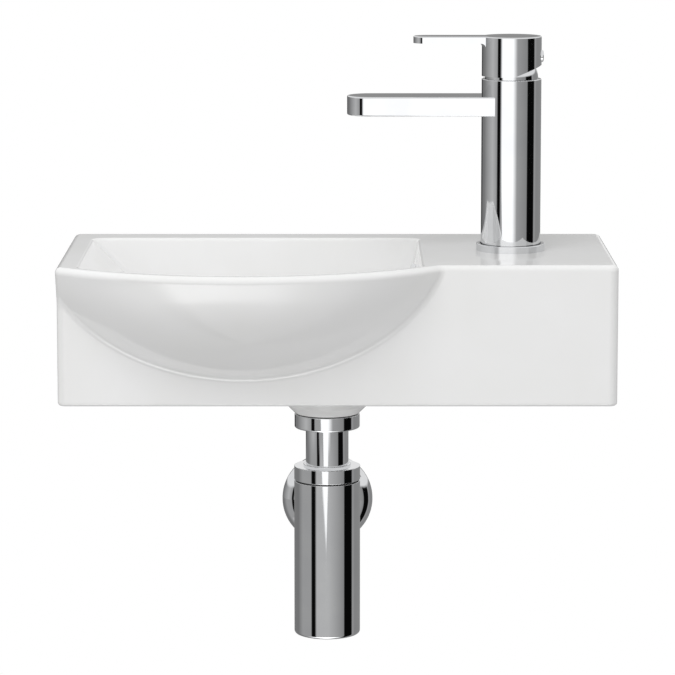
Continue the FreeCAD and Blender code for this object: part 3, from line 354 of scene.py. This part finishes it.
def thread_tree(name, material, places, direction):
    """A threaded rod with a chamfered or pointed end, along +Z from 0. It is turned to direction
    and set down at each place."""
    tree = bpy.data.node_groups.new(name, "GeometryNodeTree")
    tree.interface.new_socket("Geometry", in_out="OUTPUT", socket_type="NodeSocketGeometry")
    for size in ("Core Radius", "Ridge", "Pitch", "Length", "Point Length", "Point Radius"):
        tree.interface.new_socket(size, in_out="INPUT", socket_type="NodeSocketFloat")
    given = add(tree, "NodeGroupInput").outputs
    up = add(tree, "ShaderNodeCombineXYZ", {"Z": given["Length"]}).outputs[0]
    half_up = add(tree, "ShaderNodeVectorMath", {0: up, "Scale": 0.5}, operation="SCALE").outputs[0]

    # The ridge: a small diamond swept along a helix that narrows over the point.
    helices = []
    for length, end_radius in (("Length", "Core Radius"), ("Point Length", "Point Radius")):
        turns = add(
            tree, "ShaderNodeMath", {0: given[length], 1: given["Pitch"]}, operation="DIVIDE",
        )
        helices.append(add(tree, "GeometryNodeCurveSpiral", {
            "Resolution": 24, "Rotations": turns.outputs[0], "Start Radius": given["Core Radius"],
            "End Radius": given[end_radius], "Height": given[length],
        }).outputs[0])
    helices[1] = add(tree, "GeometryNodeTransform", {
        "Geometry": helices[1], "Translation": up,
    }).outputs[0]
    both = add(tree, "GeometryNodeJoinGeometry", joined=helices)
    upright = add(tree, "GeometryNodeSetCurveNormal", {"Curve": both.outputs[0]}, mode="Z_UP")
    diamond = add(tree, "GeometryNodeCurvePrimitiveCircle", {
        "Resolution": 4, "Radius": given["Ridge"],
    })
    ridge = add(tree, "GeometryNodeCurveToMesh", {
        "Curve": upright.outputs[0], "Profile Curve": diamond.outputs[0], "Fill Caps": True,
    })

    # The core: a round rod and its point.
    core = add(tree, "GeometryNodeMeshCylinder", {
        "Vertices": 32, "Radius": given["Core Radius"], "Depth": given["Length"],
    })
    core = add(tree, "GeometryNodeTransform", {
        "Geometry": core.outputs["Mesh"], "Translation": half_up,
    })
    point = add(tree, "GeometryNodeMeshCone", {
        "Vertices": 32, "Radius Top": given["Point Radius"], "Radius Bottom": given["Core Radius"],
        "Depth": given["Point Length"],
    })
    point = add(tree, "GeometryNodeTransform", {
        "Geometry": point.outputs["Mesh"], "Translation": up,
    })
    rod = add(
        tree, "GeometryNodeJoinGeometry",
        joined=(ridge.outputs[0], core.outputs[0], point.outputs[0]),
    )

    spots = add(tree, "GeometryNodeJoinGeometry", joined=[
        add(tree, "GeometryNodePoints", {"Count": 1, "Position": place}).outputs[0]
        for place in places
    ])
    turned = add(tree, "FunctionNodeAlignEulerToVector", {"Vector": direction}, axis="Z")
    set_down = add(tree, "GeometryNodeInstanceOnPoints", {
        "Points": spots.outputs[0], "Instance": rod.outputs[0], "Rotation": turned.outputs[0],
    })
    real = add(tree, "GeometryNodeRealizeInstances", {"Geometry": set_down.outputs[0]})
    dressed = add(tree, "GeometryNodeSetMaterial", {
        "Geometry": real.outputs[0], "Material": material,
    })
    add(tree, "NodeGroupOutput", {0: dressed.outputs[0]})
    return tree


def grown(name, tree, sizes):
    """The plain mesh piece that a tree gives for its named sizes."""
    piece = bpy.data.objects.new(name, bpy.data.meshes.new(name))
    bpy.context.scene.collection.objects.link(piece)
    form = piece.modifiers.new("form", "NODES")
    form.node_group = tree
    for socket in tree.interface.items_tree:
        if socket.in_out == "INPUT":
            form[socket.identifier] = sizes[socket.name]
    evaluated = piece.evaluated_get(bpy.context.evaluated_depsgraph_get())
    mesh = bpy.data.meshes.new_from_object(evaluated)
    piece.modifiers.remove(form)
    piece.data = mesh
    return piece


wall_end_radius = 0.00525           # of the bolts, over the coarse thread
wall_end_length = 0.060
nut_end_chamfer = 0.0012
bolt_low, bolt_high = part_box("hanger_bolts")
bolt_x = bolt_high[0] - wall_end_radius
wall_face = bolt_high[1] - wall_end_length
wall_ends = [(x, wall_face, 0) for x in (-bolt_x, bolt_x)]
wall_tree = thread_tree("wall_thread", zinc, wall_ends, (0, 1, 0))
wall_thread = grown("hanger_bolt_wall_thread", wall_tree, {
    "Core Radius": 0.0042, "Ridge": 0.00104, "Pitch": 0.0036, "Length": 0.0475,
    "Point Length": 0.0119, "Point Radius": 0.0003,
})
nut_ends = [(x, 0.0, 0) for x in (-bolt_x, bolt_x)]
nut_tree = thread_tree("nut_thread", zinc, nut_ends, (0, -1, 0))
nut_thread = grown("hanger_bolt_nut_thread", nut_tree, {
    "Core Radius": 0.0045, "Ridge": 0.00045, "Pitch": 0.0015,
    "Length": -bolt_low[1] - nut_end_chamfer, "Point Length": 0.0011, "Point Radius": 0.0036,
})
for piece in (wall_thread, nut_thread):
    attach(piece, "basin_and_fittings")
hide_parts("hanger_bolts")

# ---------------------------------------------------------------------------------------------
# Click waste. A chromed brass flange and slotted tail, clamped through the basin's boss, with a
# rubber ring under the flange and a brass click cartridge on its spider.

# A charcoal black without shine, dusted by its own bloom.
rubber = surface(
    "black_moulded_rubber", (2.5, 3.0), ("#1b1b1c", "#262627"), (0.55, 0.75),
    relief_mm=0.02, IOR=1.52,
)
# A warm yellow metal whose sheen is drawn out into fine turning rings.
brass = surface(
    "turned_brass", (6, 2.0, (0.4, 0.4, 12)), ("#c79c4c", "#dbb468"), (0.24, 0.36),
    relief_mm=0.01, Metallic=1.0,
)
dress(chrome_plate, "waste_body", "waste_plug")
dress(rubber, "waste_top_seal", "plug_seal")
dress(brass, "click_cartridge", "plug_stem")

# ---------------------------------------------------------------------------------------------
# Plug spring. Drawn stainless wire, coiled cold and seated under the stem's shoulder. It lifts the
# plug when the latch lets go.

# A light grey metal with a satin shine from the drawing die.
wire = surface(
    "drawn_stainless_wire", (1.5, 2.0), ("#b7b8b8", "#cacaca"), (0.2, 0.32), Metallic=1.0,
)
dress(wire, "plug_spring")


def spring_tree(material):
    """Round wire coiled round +Z, from the place given upwards."""
    tree = bpy.data.node_groups.new("coil_spring", "GeometryNodeTree")
    tree.interface.new_socket("Geometry", in_out="OUTPUT", socket_type="NodeSocketGeometry")
    for size in ("Coil Radius", "Wire Radius", "Turns", "Height"):
        tree.interface.new_socket(size, in_out="INPUT", socket_type="NodeSocketFloat")
    tree.interface.new_socket("Place", in_out="INPUT", socket_type="NodeSocketVector")
    given = add(tree, "NodeGroupInput").outputs
    coil = add(tree, "GeometryNodeCurveSpiral", {
        "Resolution": 32, "Rotations": given["Turns"], "Start Radius": given["Coil Radius"],
        "End Radius": given["Coil Radius"], "Height": given["Height"],
    })
    section = add(tree, "GeometryNodeCurvePrimitiveCircle", {
        "Resolution": 10, "Radius": given["Wire Radius"],
    })
    wound = add(tree, "GeometryNodeCurveToMesh", {
        "Curve": coil.outputs[0], "Profile Curve": section.outputs[0], "Fill Caps": True,
    })
    placed = add(tree, "GeometryNodeTransform", {
        "Geometry": wound.outputs[0], "Translation": given["Place"],
    })
    smooth = add(tree, "GeometryNodeSetShadeSmooth", {"Geometry": placed.outputs[0]})
    real = add(tree, "GeometryNodeRealizeInstances", {"Geometry": smooth.outputs[0]})
    dressed = add(tree, "GeometryNodeSetMaterial", {
        "Geometry": real.outputs[0], "Material": material,
    })
    add(tree, "NodeGroupOutput", {0: dressed.outputs[0]})
    return tree


wire_radius = 0.0006
spring_low, spring_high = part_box("plug_spring")
spring_x = (spring_low[0] + spring_high[0]) / 2
spring_y = (spring_low[1] + spring_high[1]) / 2
plug_coil = grown("plug_coil_spring", spring_tree(wire), {
    "Coil Radius": (spring_high[0] - spring_low[0]) / 2 - wire_radius,
    "Wire Radius": wire_radius,
    "Turns": 4.0,
    "Height": spring_high[2] - spring_low[2] - 2 * wire_radius,
    "Place": (spring_x, spring_y, spring_low[2] + wire_radius),
})
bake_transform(plug_coil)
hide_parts("plug_spring")

# ---------------------------------------------------------------------------------------------
# Bottle trap. Chromed brass tubes, ring nuts and cup with rubber rings between them, and a pressed
# rosette that covers the hole in the wall.
dress(
    chrome_plate, "inlet_nut", "dip_tube", "trap_cap", "trap_body", "outlet_nut", "outlet_tube",
    "wall_rosette",
)
dress(rubber, "boss_joint_ring", "inlet_seal", "tube_seal", "seam_ring", "outlet_seal")

# ---------------------------------------------------------------------------------------------
# Tap. A chromed brass tube with its spout brazed on, standing in a chromed ring on a rubber seal,
# with an aerator of chrome and grey plastic under the spout's end.

# A flat mid grey with a dull sheen.
grey_plastic = surface(
    "moulded_grey_acetal", (1.0, 2.0), ("#6d7073", "#7b7e81"), (0.4, 0.52), IOR=1.48,
)
dress(chrome_plate, "tap_base_ring", "tap_body", "aerator_housing")
dress(rubber, "tap_base_seal")
dress(grey_plastic, "aerator_insert")

# ---------------------------------------------------------------------------------------------
# Valve. A brass block inside the tube holds a nylon cartridge with two lapped alumina discs, a
# rotor, the lever's square brass spindle on its steel pin, and a brass nut on top.

# A creamy white, hard and close grained, that shines as if wet.
alumina = surface(
    "lapped_alumina", (0.8, 2.0), ("#e6e1d3", "#efebe0"), (0.16, 0.26), IOR=1.77,
)
dress(brass, "valve_block", "lever_spindle", "cartridge_nut")
dress(rubber, "valve_seals")
dress(nylon, "cartridge", "cartridge_rotor")
dress(alumina, "fixed_disc", "moving_disc")
dress(wire, "pivot_pin")

# ---------------------------------------------------------------------------------------------
# Handle. Cast zinc cap and flat lever in one, polished and chromed, over a chromed dome. A grub
# screw behind a small chromed button clamps it to the spindle.
dress(chrome_plate, "handle", "dome_cover", "index_button")
dress(wire, "handle_grub_screw")

# ---------------------------------------------------------------------------------------------
# Tap fixing. A zinc plated stud, a rubber and a steel horseshoe plate, and a long brass nut clamp
# the tap to the ledge from below.
dress(zinc, "fixing_stud", "under_deck_plate")
dress(rubber, "under_deck_seal")
dress(brass, "stud_nut")

stud_end_gap = 0.0002               # the thread starts this far below the stud's top
stud_chamfer = 0.0012
stud_low, stud_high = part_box("fixing_stud")
stud_x = (stud_low[0] + stud_high[0]) / 2
stud_y = (stud_low[1] + stud_high[1]) / 2
stud_top = [(stud_x, stud_y, stud_high[2] - stud_end_gap)]
stud_tree = thread_tree("stud_thread", zinc, stud_top, (0, 0, -1))
stud_thread = grown("fixing_stud_thread", stud_tree, {
    "Core Radius": 0.0036, "Ridge": 0.00038, "Pitch": 0.00125,
    "Length": stud_high[2] - stud_low[2] - stud_end_gap - stud_chamfer,
    "Point Length": 0.001, "Point Radius": 0.0028,
})
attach(stud_thread, "basin_and_fittings")
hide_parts("fixing_stud")

# ---------------------------------------------------------------------------------------------
# Picture settings. Colours reach the picture as they are.
bpy.context.scene.view_settings.view_transform = "Standard"
